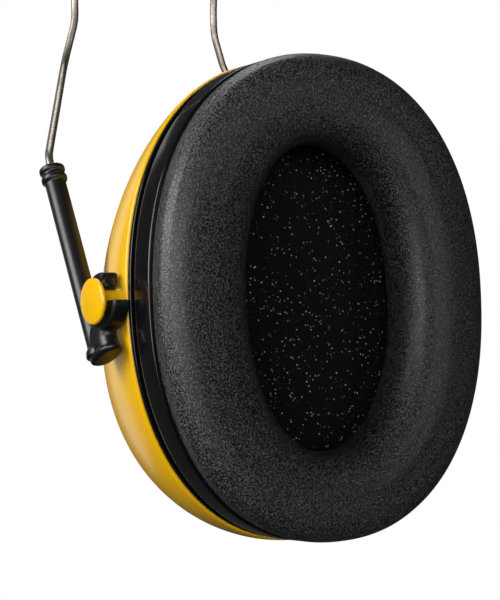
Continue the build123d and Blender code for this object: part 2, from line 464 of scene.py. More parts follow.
def grid_mesh(
    name: str, points: np.ndarray, wrap_rows: bool, wrap_columns: bool, caps: bool
) -> bpy.types.Object:
    """Make a mesh object from a grid of points.

    Neighbours in the grid become quads. A wrapped direction joins its last line to its first. With caps,
    the first and last rows are closed by a fan round their mean point.

    Args:
        name: the object's name.
        points: rows by columns by 3, in metres.
        wrap_rows: join the last row to the first.
        wrap_columns: join the last column to the first.
        caps: close both row ends.

    Returns:
        The new object, with a UV map of column share by row share.
    """
    rows, columns = points.shape[:2]
    index = np.arange(rows * columns).reshape(rows, columns)
    upper = np.vstack([index, index[:1]]) if wrap_rows else index
    upper = np.hstack([upper, upper[:, :1]]) if wrap_columns else upper
    quads = np.stack([upper[:-1, :-1], upper[:-1, 1:], upper[1:, 1:], upper[1:, :-1]], -1).reshape(-1, 4)
    vertices = points.reshape(-1, 3)
    u, v = np.meshgrid(np.linspace(0, 1, upper.shape[1]), np.linspace(0, 1, upper.shape[0]))
    shares = np.stack([u, v], -1)
    uv = np.stack([shares[:-1, :-1], shares[:-1, 1:], shares[1:, 1:], shares[1:, :-1]], 2).reshape(-1, 2)
    faces = quads.tolist()
    if caps:
        hubs = np.stack([points[0].mean(0), points[-1].mean(0)])
        first, last = upper[0], upper[-1]
        hub = rows * columns
        low = np.stack([np.full(len(first) - 1, hub), first[1:], first[:-1]], -1)
        high = np.stack([np.full(len(last) - 1, hub + 1), last[:-1], last[1:]], -1)
        vertices = np.vstack([vertices, hubs])
        faces += low.tolist() + high.tolist()
        uv = np.vstack([uv, np.zeros((3 * len(low), 2)), np.ones((3 * len(high), 2))])
    mesh = bpy.data.meshes.new(name)
    mesh.from_pydata(vertices.tolist(), [], faces)
    layer = mesh.uv_layers.new(name="UVMap")
    layer.data.foreach_set("uv", uv.astype(np.float32).ravel())
    mesh.polygons.foreach_set("use_smooth", np.ones(len(mesh.polygons), bool))
    mesh.update()
    piece = bpy.data.objects.new(name, mesh)
    bpy.context.scene.collection.objects.link(piece)
    face_outwards(piece)
    return piece


def face_outwards(piece: bpy.types.Object) -> None:
    """Turn a closed mesh right side out: its signed volume, the sum of a . (b x c) / 6, has to be positive.

    Args:
        piece: closed mesh object.
    """
    mesh = piece.data
    mesh.calc_loop_triangles()
    corners = np.zeros(len(mesh.loop_triangles) * 3, np.int32)
    mesh.loop_triangles.foreach_get("vertices", corners)
    places = np.zeros(len(mesh.vertices) * 3, np.float32)
    mesh.vertices.foreach_get("co", places)
    a, b, c = places.reshape(-1, 3)[corners.reshape(-1, 3)].astype(float).transpose(1, 0, 2)
    if np.einsum("ij,ij->i", a, np.cross(b, c)).sum() < 0:
        mesh.flip_normals()


def dress(piece: bpy.types.Object, material: bpy.types.Material, slot: Slot, body: str, *nodes: str) -> None:
    """Give a piece its material, ride it on a body and hide the CAD nodes it stands for.

    Args:
        piece: the piece.
        material: its finish.
        slot: its material slot in the record; not used.
        body: body that it rides on.
        nodes: CAD nodes that it stands for.
    """
    piece.data.materials.clear()
    piece.data.materials.append(material)
    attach(piece, body)
    if nodes:
        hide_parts(*nodes)
    LOG.info("%s rides on %s", piece.name, body)


def join(name: str, pieces: list[bpy.types.Object]) -> bpy.types.Object:
    """Join meshes into one object, which takes the name.

    Args:
        name: name of the joined object.
        pieces: objects to join; the first one is kept.

    Returns:
        The joined object.
    """
    with bpy.context.temp_override(active_object=pieces[0], selected_editable_objects=pieces):
        bpy.ops.object.join()
    pieces[0].name = name
    pieces[0].data.name = name
    return pieces[0]


def applied(piece: bpy.types.Object) -> None:
    """Replace a piece's mesh with its modified one, and drop the modifiers.

    Args:
        piece: object with modifiers.
    """
    graph = bpy.context.evaluated_depsgraph_get()
    mesh = bpy.data.meshes.new_from_object(piece.evaluated_get(graph))
    old = piece.data
    piece.modifiers.clear()
    piece.data = mesh
    bpy.data.meshes.remove(old)
    mesh.name = piece.name
    mesh.polygons.foreach_set("use_smooth", np.ones(len(mesh.polygons), bool))


def fuse(piece: bpy.types.Object, voxel: float, rounds: int) -> None:
    """Fuse overlapping closed shells into one skin, as one moulding, and soften its inner corners.

    Args:
        piece: object made of overlapping closed shells.
        voxel: remesh cell size in metres.
        rounds: smoothing passes.
    """
    remesh = piece.modifiers.new("fuse", "REMESH")
    remesh.mode = "VOXEL"
    remesh.voxel_size = voxel
    smooth = piece.modifiers.new("soften", "SMOOTH")
    smooth.factor = 0.5
    smooth.iterations = rounds
    applied(piece)


def superellipse(half_width: float, half_height: float, power: float, turns: np.ndarray) -> np.ndarray:
    """Points of |x/a|^n + |y/b|^n = 1 at the given angles, as x and y columns.

    Args:
        half_width: a.
        half_height: b.
        power: n.
        turns: angles in radians.

    Returns:
        One point per angle.
    """
    c, s = np.cos(turns), np.sin(turns)
    x = half_width * np.sign(c) * np.abs(c) ** (2 / power)
    y = half_height * np.sign(s) * np.abs(s) ** (2 / power)
    return np.stack([x, y], -1)


def even_turns(half_width: float, half_height: float, power: float, count: int) -> np.ndarray:
    """Angles that space count points evenly round a superellipse, found by inverting its arc length.

    Args:
        half_width: half size in x.
        half_height: half size in y.
        power: the exponent.
        count: number of points.

    Returns:
        The angles in radians.
    """
    dense = np.linspace(0, 2 * np.pi, 4001)
    outline = superellipse(half_width, half_height, power, dense)
    run = np.concatenate([[0], np.cumsum(np.linalg.norm(np.diff(outline, axis=0), axis=1))])
    return np.interp(np.arange(count) / count * run[-1], run, dense)


def bezier(controls: list[tuple[float, float]], count: int) -> np.ndarray:
    """Cubic Bezier points: the control points weighted by (1-t)^3, 3t(1-t)^2, 3t^2(1-t) and t^3.

    Args:
        controls: four control points.
        count: number of points.

    Returns:
        The curve's points.
    """
    t = np.linspace(0, 1, count)[:, None]
    a, b, c, d = (np.array(point, float) for point in controls)
    return (1 - t) ** 3 * a + 3 * t * (1 - t) ** 2 * b + 3 * t**2 * (1 - t) * c + t**3 * d


def soft_profile(corners: list[tuple[float, float]], radii: list[float], steps: int = 6) -> np.ndarray:
    """Closed profile with rounded corners.

    Each corner is replaced by a quadratic curve from a point its radius before the corner to one its radius
    after it, with the corner itself as the middle control point.

    Args:
        corners: the profile's corners in order.
        radii: each corner's setback.
        steps: points on each rounded corner.

    Returns:
        The profile's points, without repeating the first.
    """
    at = np.array(corners, float)
    before, after = np.roll(at, 1, axis=0) - at, np.roll(at, -1, axis=0) - at
    reach = np.array(radii)[:, None]
    start = at + before / np.linalg.norm(before, axis=1, keepdims=True) * reach
    stop = at + after / np.linalg.norm(after, axis=1, keepdims=True) * reach
    t = np.linspace(0, 1, steps)[None, :, None]
    curve = (1 - t) ** 2 * start[:, None] + 2 * t * (1 - t) * at[:, None] + t**2 * stop[:, None]
    return curve.reshape(-1, 2)


def resampled(points: np.ndarray, count: int, closed: bool) -> np.ndarray:
    """Points spaced evenly along a polyline by interpolating each coordinate over its run length.

    Args:
        points: the polyline.
        count: number of points handed back.
        closed: join the last point to the first.

    Returns:
        The evenly spaced points.
    """
    line = np.vstack([points, points[:1]]) if closed else points
    run = np.concatenate([[0], np.cumsum(np.linalg.norm(np.diff(line, axis=0), axis=1))])
    at = np.linspace(0, run[-1], count + 1)[:-1] if closed else np.linspace(0, run[-1], count)
    return np.stack([np.interp(at, run, line[:, axis]) for axis in range(line.shape[1])], -1)


# ---- one ear cup's space ------------------------------------------------------------------


@dataclass(frozen=True)
class CupSpace:
    """Places in one ear cup: across, up and out from the middle of its sealing face."""

    side: Side
    face: float
    half_width: float
    half_height: float
    power: float = 2.2

    def world(self, across: np.ndarray, up: np.ndarray, out: np.ndarray) -> np.ndarray:
        """Points: x is the face plus out, to the cup's side; y is across, turned round by side; z is up."""
        sign = self.side.value
        return np.stack(np.broadcast_arrays(sign * (self.face + out), -sign * across, up), -1)

    @property
    def pivot_out(self) -> float:
        """Distance of the pivot axis outside the sealing face."""
        return abs(joint_named(f"{self.side.word}_cup_tilt")["pos_m"][0]) - self.face


def joint_named(name: str) -> dict:
    """The record's joint of that name."""
    return next(joint for joint in frame["joints"] if joint["name"] == name)


def cup_space(side: Side) -> CupSpace:
    """Read a cup's place and outline from the frame's boxes.

    Args:
        side: the cup's side.

    Returns:
        The cup's places.
    """
    low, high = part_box(f"{side.word}_cushion_cover")
    plate_low, plate_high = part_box(f"{side.word}_cushion_plate")
    face = min(abs(low.x), abs(high.x))
    half_width, half_height = (plate_high.y - plate_low.y) / 2, (plate_high.z - plate_low.z) / 2
    return CupSpace(side, face, half_width + PLATE_INSET, half_height + PLATE_INSET)


@dataclass
class Shell:
    """Yellow moulded cup: a dome that falls as it goes out, with a stud on each side."""

    space: CupSpace
    rim: float = 16.4 * MM
    depth: float = 33.0 * MM
    wall: float = 2.2 * MM
    lip: float = 0.55 * MM
    dome_length: float = 49.6 * MM
    dome_power: float = 1.55
    dome_root: float = 1.86
    dome_drop: float = 10.0 * MM
    shoulder: float = 7.0 * MM
    crown: float = 1.0 * MM
    columns: int = 220
    journal_radius: float = 2.4 * MM
    head_radius: float = 4.6 * MM
    head_inner: float = 46.1 * MM
    head_thickness: float = 0.9 * MM

    def share(self, back: np.ndarray) -> np.ndarray:
        """Section size at a depth behind the rim: (1 - (back / length)^power)^(1 / root)."""
        return (1 - (np.clip(back, 0, None) / self.dome_length) ** self.dome_power) ** (1 / self.dome_root)

    def size_at(self, back: float, inset: float) -> float:
        """Half width of the dome at a depth behind the rim, less an inset."""
        return float(self.share(np.array(back))) * self.space.half_width - inset

    def meridian(self) -> np.ndarray:
        """Half section from the inner middle, round the rim, to the outer middle: size and depth columns.

        Returns:
            The section's points, inside first.
        """
        half, wall, lip = self.space.half_width, self.wall, self.lip
        turn_at = self.depth - self.shoulder
        inner_back = self.depth - wall
        inner_turn = turn_at - wall
        inside = np.linspace(inner_turn, lip * 2, 24)
        outside = np.linspace(lip * 2, turn_at, 34)
        inner_size, outer_size = self.size_at(inner_turn, wall), self.size_at(turn_at, 0)
        inner_slope = inner_size - self.size_at(inner_turn - MM, wall)
        outer_slope = outer_size - self.size_at(turn_at - MM, 0)
        reach = self.shoulder * 0.55 / MM
        inner_bend = bezier(
            [(inner_size - 9 * MM, inner_back), (inner_size - 4 * MM, inner_back),
             (inner_size + inner_slope * reach, inner_turn + reach * MM), (inner_size, inner_turn)], 9,
        )
        rim_edge = soft_profile(
            [(half - wall, lip * 2), (half - wall, 0), (half, 0), (half, lip * 2)],
            [0.01 * MM, lip, lip, 0.01 * MM], 6,
        )[6:18]
        outer_bend = bezier(
            [(outer_size, turn_at), (outer_size + outer_slope * reach, turn_at + reach * MM),
             (outer_size - 6.5 * MM, self.depth), (outer_size - 12 * MM, self.depth + self.crown * 0.35)], 16,
        )
        last = outer_bend[-1, 0]
        span = np.linspace(1, 0.03, 14)
        panel = np.stack([last * span, self.depth + self.crown * (1 - 0.65 * span**2)], -1)
        return np.vstack([
            np.stack([np.linspace(0.4 * MM, inner_size - 10 * MM, 8), np.full(8, inner_back)], -1),
            inner_bend[:-1],
            np.stack([self.share(inside) * half - wall, inside], -1),
            rim_edge,
            np.stack([self.share(outside) * half, outside], -1),
            outer_bend[1:],
            panel[1:],
        ])

    def make(self, plastic: bpy.types.Material) -> bpy.types.Object:
        """Build the shell with both studs.

        Args:
            plastic: the shell's finish.

        Returns:
            The finished piece.
        """
        space = self.space
        section = self.meridian()
        turns = even_turns(space.half_width, space.half_height, space.power, self.columns)
        width = section[:, :1]
        height = self.section_height(section)
        circle = superellipse(1.0, 1.0, space.power, turns)
        across = width * circle[None, :, 0]
        drop = -self.dome_drop * np.clip(section[:, 1:], 0, None) / self.dome_length
        up = height * circle[None, :, 1] + drop
        out = np.broadcast_to(self.rim + section[:, 1:], across.shape)
        dome = grid_mesh(f"{space.side.word}_shell_dome", space.world(across, up, out), False, True, True)
        studs = [self.stud(sign) for sign in (-1, 1)]
        piece = join(f"{space.side.word}_shell_moulding", [dome, *studs])
        dress(piece, plastic, Slot.YELLOW, f"{space.side.word}_cup", f"{space.side.word}_shell")
        return piece

    def section_height(self, section: np.ndarray) -> np.ndarray:
        """Half height of each station: half width plus the cup's extra height, shrunk with the section."""
        space = self.space
        extra = space.half_height - space.half_width
        return section[:, :1] + extra * np.clip(section[:, :1] / space.half_width, 0, 1)

    def stud(self, sign: int) -> bpy.types.Object:
        """Stud of revolution on the pivot axis: a flared root, the journal and a flat rounded head.

        Args:
            sign: 1 or -1, the end of the pivot axis.

        Returns:
            The stud, to be joined to the dome.
        """
        root = self.space.half_width - 3.0 * MM
        journal, head = self.journal_radius, self.head_radius
        start, thick = self.head_inner, self.head_thickness
        side_face = self.space.half_width - 0.4 * MM
        profile = np.array([
            (0.05 * MM, root), (journal + 1.3 * MM, root), (journal + 1.3 * MM, side_face - 0.5 * MM),
            (journal + 0.4 * MM, side_face), (journal, side_face + 0.5 * MM), (journal, start - 0.2 * MM),
            (journal + 0.2 * MM, start), (head - 0.35 * MM, start), (head - 0.08 * MM, start + 0.12 * MM),
            (head, start + 0.4 * MM), (head, start + thick - 0.45 * MM),
            (head - 0.1 * MM, start + thick - 0.15 * MM),
            (head - 0.45 * MM, start + thick), (0.05 * MM, start + thick + 0.03 * MM),
        ])
        turns = np.linspace(0, 2 * np.pi, 64, endpoint=False)
        out = self.space.pivot_out + profile[:, :1] * np.cos(turns)
        up = profile[:, :1] * np.sin(turns)
        across = np.broadcast_to(sign * profile[:, 1:], up.shape)
        return grid_mesh("stud", self.space.world(across, up, out), False, True, True)


@dataclass
class Cushion:
    """Padded ring cushion: vinyl skin over foam and fluid, welded to a stiff glossy plate."""

    space: CupSpace
    inset: float = 0.5 * MM
    bore_width: float = 20.5 * MM
    bore_height: float = 31.5 * MM
    thickness: float = 12.2 * MM
    rebate: float = 8.0 * MM
    lip_inset: float = 1.15 * MM
    crown: float = 0.9 * MM
    fold_depth: float = 2.9 * MM
    fold: float = 0.16 * MM
    bulge: float = 1.3 * MM
    outer_round: float = 8.0 * MM
    inner_round: float = 7.2 * MM
    columns: int = 260
    rows: int = 110
    swell_cap: float = 0.7 * MM
    swell_pressure: float = 4.0
    swell_steps: int = 20
    swell_quality: int = 4

    def ring_points(self, profile: np.ndarray, count: int) -> np.ndarray:
        """Sweep a profile round the oval.

        A profile point is a distance in from the cushion's outer outline and a depth. The outline at that
        distance is a mix of the outer and bore ovals, in proportion to how far across the ring it is.

        Args:
            profile: distance in and depth columns.
            count: points round the oval.

        Returns:
            Row-frame points, profile rows by count columns.
        """
        space = self.space
        outer = (space.half_width - self.inset, space.half_height - self.inset)
        turns = even_turns(outer[0], outer[1], space.power, count)
        circle = superellipse(1.0, 1.0, space.power, turns)
        share = profile[:, :1] / self.ring_width
        width = outer[0] + (self.bore_width - outer[0]) * share
        height = outer[1] + (self.bore_height - outer[1]) * share
        return space.world(width * circle[None, :, 0], height * circle[None, :, 1],
                           np.broadcast_to(profile[:, 1:], (len(profile), count)))

    @property
    def ring_width(self) -> float:
        """Width of the ring at its front and back."""
        return self.space.half_width - self.inset - self.bore_width

    def skin_profile(self) -> np.ndarray:
        """Crowned section of the skin, from behind the plate's lip, over the front, to the bore.

        The outer side stands up from the lip with a soft fold where it turns over to the crest; the crest is
        nearly flat; the bore side rolls in and tucks under at the weld.

        Returns:
            Distance in and depth columns, evenly spaced.
        """
        wide, deep, outer, inner = self.ring_width, self.thickness, self.outer_round, self.inner_round
        tuck = self.lip_inset
        side_out = bezier([(tuck, deep - 2.5 * MM), (tuck, self.rebate - 0.4 * MM),
                           (0.0, self.rebate + 0.4 * MM), (0.0, self.rebate - 1.4 * MM)], 10)
        over = bezier([(0.0, self.rebate - 1.4 * MM), (-self.bulge, outer * 0.26), (outer * 0.22, 0.0),
                       (outer * 1.12, self.crown * 0.12)], 22)
        front = bezier([(outer * 1.12, self.crown * 0.12), (outer * 1.12 + 1.5 * MM, -0.1 * MM),
                        (wide - inner - 1.5 * MM, -0.1 * MM), (wide - inner * 1.05, self.crown * 0.2)], 10)
        under = bezier([(wide - inner * 1.05, self.crown * 0.2), (wide - inner * 0.35, 0.4 * MM),
                        (wide - 0.05 * MM, inner * 0.42), (wide, inner * 1.05)], 14)
        side_in = np.array([(wide - 0.05 * MM, deep - 3.0 * MM), (wide - 0.3 * MM, deep - 1.2 * MM),
                            (wide - 1.1 * MM, deep)])
        whole = np.vstack([side_out, over[1:], front[1:], under[1:], side_in])
        line = resampled(whole, self.rows, closed=False)
        fold = np.exp(-(((line[:, 1] - self.fold_depth) / (0.55 * MM)) ** 2)) * (line[:, 0] < outer)
        line[:, 0] += self.fold * fold
        return line

    def make_skin(self, vinyl: bpy.types.Material) -> bpy.types.Object:
        """Args:
            vinyl: the skin's finish.

        Returns:
            The finished piece.
        """
        word = self.space.side.word
        profile = self.skin_profile()
        wide, deep = self.ring_width, self.thickness
        back = np.stack([np.linspace(wide - 1.6 * MM, 1.0 * MM, 12), np.full(12, deep)], -1)
        piece = grid_mesh(f"{word}_cushion_skin", self.ring_points(np.vstack([profile, back]), self.columns),
                          True, True, False)
        self.swell(piece, len(profile))
        dress(piece, vinyl, Slot.VINYL, f"{word}_cup", f"{word}_cushion_cover", f"{word}_cushion_foam",
              f"{word}_cushion_bladder")
        return piece

    def swell(self, piece: bpy.types.Object, skin_rows: int) -> None:
        """Inflate the skin slightly, held at its welded edges and back, moving no point past swell_cap.

        Args:
            piece: the ring, whose first skin_rows rows of columns are its free skin.
            skin_rows: how many rows are skin; those next to its two welded edges are held.
        """
        mesh = piece.data
        rest = np.zeros(len(mesh.vertices) * 3, np.float32)
        mesh.vertices.foreach_get("co", rest)
        row = np.arange(len(mesh.vertices)) // self.columns
        held = (row < 4) | (row > skin_rows - 4)
        group = piece.vertex_groups.new(name="held")
        group.add(np.flatnonzero(held).tolist(), 1.0, "REPLACE")
        cloth = piece.modifiers.new("swell", "CLOTH")
        cloth.settings.use_pressure = True
        cloth.settings.uniform_pressure_force = self.swell_pressure
        cloth.settings.vertex_group_mass = "held"
        cloth.settings.effector_weights.gravity = 0.0
        cloth.settings.quality = self.swell_quality
        cloth.point_cache.frame_start, cloth.point_cache.frame_end = 1, self.swell_steps
        scene = bpy.context.scene
        for step in range(1, self.swell_steps + 1):
            scene.frame_set(step)
        applied(piece)
        scene.frame_set(1)
        moved = np.zeros_like(rest)
        piece.data.vertices.foreach_get("co", moved)
        shift = (moved - rest).reshape(-1, 3)
        length = np.linalg.norm(shift, axis=1, keepdims=True)
        shift *= self.swell_cap * np.tanh(length / self.swell_cap) / np.maximum(length, 1e-9)
        LOG.info("%s swells by up to %.2f mm", piece.name, np.linalg.norm(shift, axis=1).max() / MM)
        piece.data.vertices.foreach_set("co", (rest.reshape(-1, 3) + shift).astype(np.float32).ravel())
        piece.data.update()

    def make_plate(self, plastic: bpy.types.Material) -> bpy.types.Object:
        """Glossy dish round the skin: a lip with rounded edges, a groove behind it and a spigot in the shell.

        Args:
            plastic: the plate's finish.

        Returns:
            The finished piece.
        """
        word = self.space.side.word
        front, seat, flange, tread, back, spigot = (
            depth * MM for depth in (8.25, 12.4, 13.95, 15.3, 16.15, 19.35)
        )
        outside, lip, step, groove, spigot_out, spigot_in, bore = (
            distance * MM for distance in (-0.3, 0.9, -0.2, 1.5, 3.3, 5.1, 17.0)
        )
        corners = [
            (outside, front), (lip, front), (lip, seat), (bore, seat), (bore, flange), (spigot_in, flange),
            (spigot_in, spigot), (spigot_out, spigot), (spigot_out, back), (step, back), (step, tread),
            (groove, tread), (groove, flange), (outside, flange),
        ]
        radii = [
            reach * MM for reach in (0.22, 0.3, 0.1, 0.3, 0.3, 0.1, 0.3, 0.3, 0.1, 0.15, 0.15, 0.1, 0.1, 0.8)
        ]
        profile = soft_profile(corners, radii, 5)
        piece = grid_mesh(f"{word}_cushion_rim", self.ring_points(profile, self.columns), True, True, False)
        dress(piece, plastic, Slot.GLOSS, f"{word}_cup", f"{word}_cushion_plate")
        return piece


@dataclass
class FoamLiner:
    """Open-cell foam behind the ear opening, with a rough, slightly domed front."""

    space: CupSpace
    half_width: float = 28.5 * MM
    half_height: float = 37.5 * MM
    front: float = 18.4 * MM
    back: float = 40.0 * MM
    dome: float = 1.6 * MM
    roughness: float = 0.32 * MM
    rings: int = 150
    columns: int = 300

    def make(self, foam: bpy.types.Material) -> bpy.types.Object:
        """Build the foam: rings out from the middle of the front, over the edge, and in across the back.

        Args:
            foam: the liner's finish.

        Returns:
            The finished piece.
        """
        space = self.space
        word = space.side.word
        turns = even_turns(self.half_width, self.half_height, space.power, self.columns)
        circle = superellipse(1.0, 1.0, space.power, turns)
        front_share = np.linspace(0.01, 0.93, self.rings)
        edge = np.linspace(0, np.pi / 2, 8)[1:]
        share = np.concatenate([front_share, 0.93 + 0.07 * np.sin(edge), [1.0], np.linspace(0.95, 0.02, 6)])
        depth = np.concatenate([
            self.front - self.dome * (1 - front_share**2), self.front + 2.2 * MM * (1 - np.cos(edge)),
            [self.back - 2 * MM], np.full(6, self.back),
        ])
        points = space.world(self.half_width * share[:, None] * circle[None, :, 0],
                             self.half_height * share[:, None] * circle[None, :, 1],
                             np.broadcast_to(depth[:, None], (len(share), self.columns)))
        noise = np.random.default_rng(7).normal(size=(self.rings, self.columns))
        fade = np.minimum(1, np.arange(self.rings) / 20)[:, None]
        points[: self.rings, :, 0] += self.roughness * 0.35 * noise * fade
        piece = grid_mesh(f"{word}_liner_foam", points, False, True, True)
        dress(piece, foam, Slot.FOAM, f"{word}_cup", f"{word}_foam_liner")
        return piece


@dataclass
class WireGuide:
    """Black moulded guide: a tube on the wire leg, two collars, a foot and a C-clip on the cup's stud."""

    space: CupSpace
    end: End
    offset: float = 7.5 * MM
    middle: float = 43.3 * MM
    clip_radius: float = 5.7 * MM
    clip_bore: float = 2.55 * MM
    clip_half: float = 1.85 * MM
    mouth: float = 2.6 * MM
    arm_cut: float = math.radians(28.0)
    tube_radius: float = 2.2 * MM
    neck_radius: float = 0.92 * MM
    bore_radius: float = 1.45 * MM
    neck: float = 3.6 * MM
    below: float = 8.5 * MM
    above: float = 35.4 * MM
    voxel: float = 0.17 * MM

    @property
    def name(self) -> str:
        """The guide's body and node name."""
        return f"{self.space.side.word}_{self.end.word}_guide"

    def world(self, normal: np.ndarray, along: np.ndarray, wide: np.ndarray) -> np.ndarray:
        """Row-frame points from the leg's normal, the distance up the leg and the distance out in y.

        Args:
            normal: distance out from the pivot, square to the leg.
            along: distance up the leg.
            wide: distance out along the pivot axis.

        Returns:
            The points.
        """
        axis = np.array(joint_named(f"{self.space.side.word}_height_slide")["axis"])
        up = -axis
        sign = self.space.side.value
        square = np.array([sign * up[2], 0.0, -abs(up[0])])
        pivot = np.array([sign * (self.space.face + self.space.pivot_out), self.end.value * self.middle, 0.0])
        normal, along, wide = np.broadcast_arrays(normal, along, wide)
        y = np.array([0.0, 1.0, 0.0]) * self.end.value
        return pivot + normal[..., None] * square + along[..., None] * up + wide[..., None] * y

    def tube(self) -> bpy.types.Object:
        """Tube of revolution round the leg, with its collars and foot, open along the wire.

        Returns:
            The tube, to be fused with the rest.
        """
        r, collar, foot, low, high = self.tube_radius, 2.7 * MM, 3.0 * MM, -self.below, self.above
        corners = [
            (self.neck_radius, high), (2.1 * MM, high), (collar, high - 0.3 * MM), (collar, high - 1.2 * MM),
            (r + 0.1 * MM, high - 1.5 * MM), (r + 0.1 * MM, high - 2.1 * MM), (collar, high - 2.4 * MM),
            (collar, high - 3.3 * MM), (r, high - 3.8 * MM), (r, low + 2.2 * MM),
            (foot - 0.3 * MM, low + 1.5 * MM),
            (foot - 0.1 * MM, low + 0.3 * MM), (2.3 * MM, low), (self.bore_radius, low),
            (self.bore_radius, high - self.neck - 0.6 * MM), (self.neck_radius, high - self.neck),
        ]
        profile = soft_profile(corners, [0.15 * MM] * len(corners), 4)
        turns = np.linspace(0, 2 * np.pi, 48, endpoint=False)
        radius = profile[:, :1]
        normal = self.offset + radius * np.cos(turns)
        points = self.world(normal, profile[:, 1:] + 0 * turns, radius * np.sin(turns))
        return grid_mesh("tube", points, True, True, False)

    def clip(self) -> bpy.types.Object:
        """C-shaped clip: a rounded block section carried round the journal, open towards the head.

        Returns:
            The clip, to be fused with the rest.
        """
        mean, half = (self.clip_radius + self.clip_bore) / 2, (self.clip_radius - self.clip_bore) / 2
        gap = math.asin(self.mouth / 2 / mean) + 0.1
        turns = np.linspace(math.pi + gap, 3 * math.pi - gap - self.arm_cut, 72)
        deep = self.clip_half
        corners = [(-half, -deep), (half, -deep), (half, deep), (-half, deep)]
        section = soft_profile(corners, [0.7 * MM] * 4, 6)
        radius = mean + section[None, :, 0] * np.ones((len(turns), 1))
        wide = np.broadcast_to(section[None, :, 1], radius.shape)
        points = self.world(radius * np.cos(turns)[:, None], radius * np.sin(turns)[:, None], wide)
        return grid_mesh("clip", points, False, True, True)

    def stack(
        self, name: str, levels: list[tuple[float, float, float, float]], power: float
    ) -> bpy.types.Object:
        """Superellipse sections stacked up the leg.

        Args:
            name: the piece's name.
            levels: height, nearest and furthest normal and half thickness of each section, in millimetres.
            power: the sections' superellipse exponent.

        Returns:
            The closed piece.
        """
        along, inner, outer, thick = np.array(levels).T[:, :, None] * MM
        block = superellipse(1.0, 1.0, power, np.linspace(0, 2 * np.pi, 44, endpoint=False))
        normal = (inner + outer) / 2 + (outer - inner) / 2 * block[None, :, 0]
        points = self.world(normal, along + 0 * normal, thick * block[None, :, 1])
        return grid_mesh(name, points, False, True, True)

    def web(self) -> bpy.types.Object:
        """Barrel below the clip that tapers down beside the tube."""
        levels = [(-9.4, 2.0, 9.2, 1.7), (-8.2, 1.5, 9.5, 2.15), (-6.4, 1.5, 9.5, 2.15),
                  (-4.6, 0.4, 9.3, 2.0), (-3.4, -2.2, 9.0, 1.85), (-2.6, -3.6, 8.6, 1.6)]
        return self.stack("web", levels, 2.7)

    def heel(self) -> bpy.types.Object:
        """Oval flange round the foot of the tube and barrel."""
        return self.stack("heel", [(-9.7, 1.9, 9.0, 2.0), (-9.4, 1.3, 9.7, 2.5), (-8.8, 1.1, 9.9, 2.65),
                                   (-8.2, 1.5, 9.5, 2.3)], 2.3)

    def bridge(self) -> bpy.types.Object:
        """Block from the tube to the end of the clip's upper arm."""
        return self.stack("bridge", [(1.5, -2.2, 7.8, 1.5), (2.1, -2.9, 8.0, 1.8), (4.6, -2.9, 8.0, 1.8),
                                     (5.3, -2.3, 7.8, 1.5)], 4.0)

    def make(self, plastic: bpy.types.Material) -> bpy.types.Object:
        """Build the guide as one fused moulding.

        Args:
            plastic: the guide's finish.

        Returns:
            The finished piece.
        """
        parts = [self.tube(), self.clip(), self.web(), self.heel(), self.bridge()]
        piece = join(f"{self.name}_moulding", parts)
        fuse(piece, self.voxel, 4)
        dress(piece, plastic, Slot.PLASTIC, self.name, self.name)
        return piece


# ---- headband -----------------------------------------------------------------------------


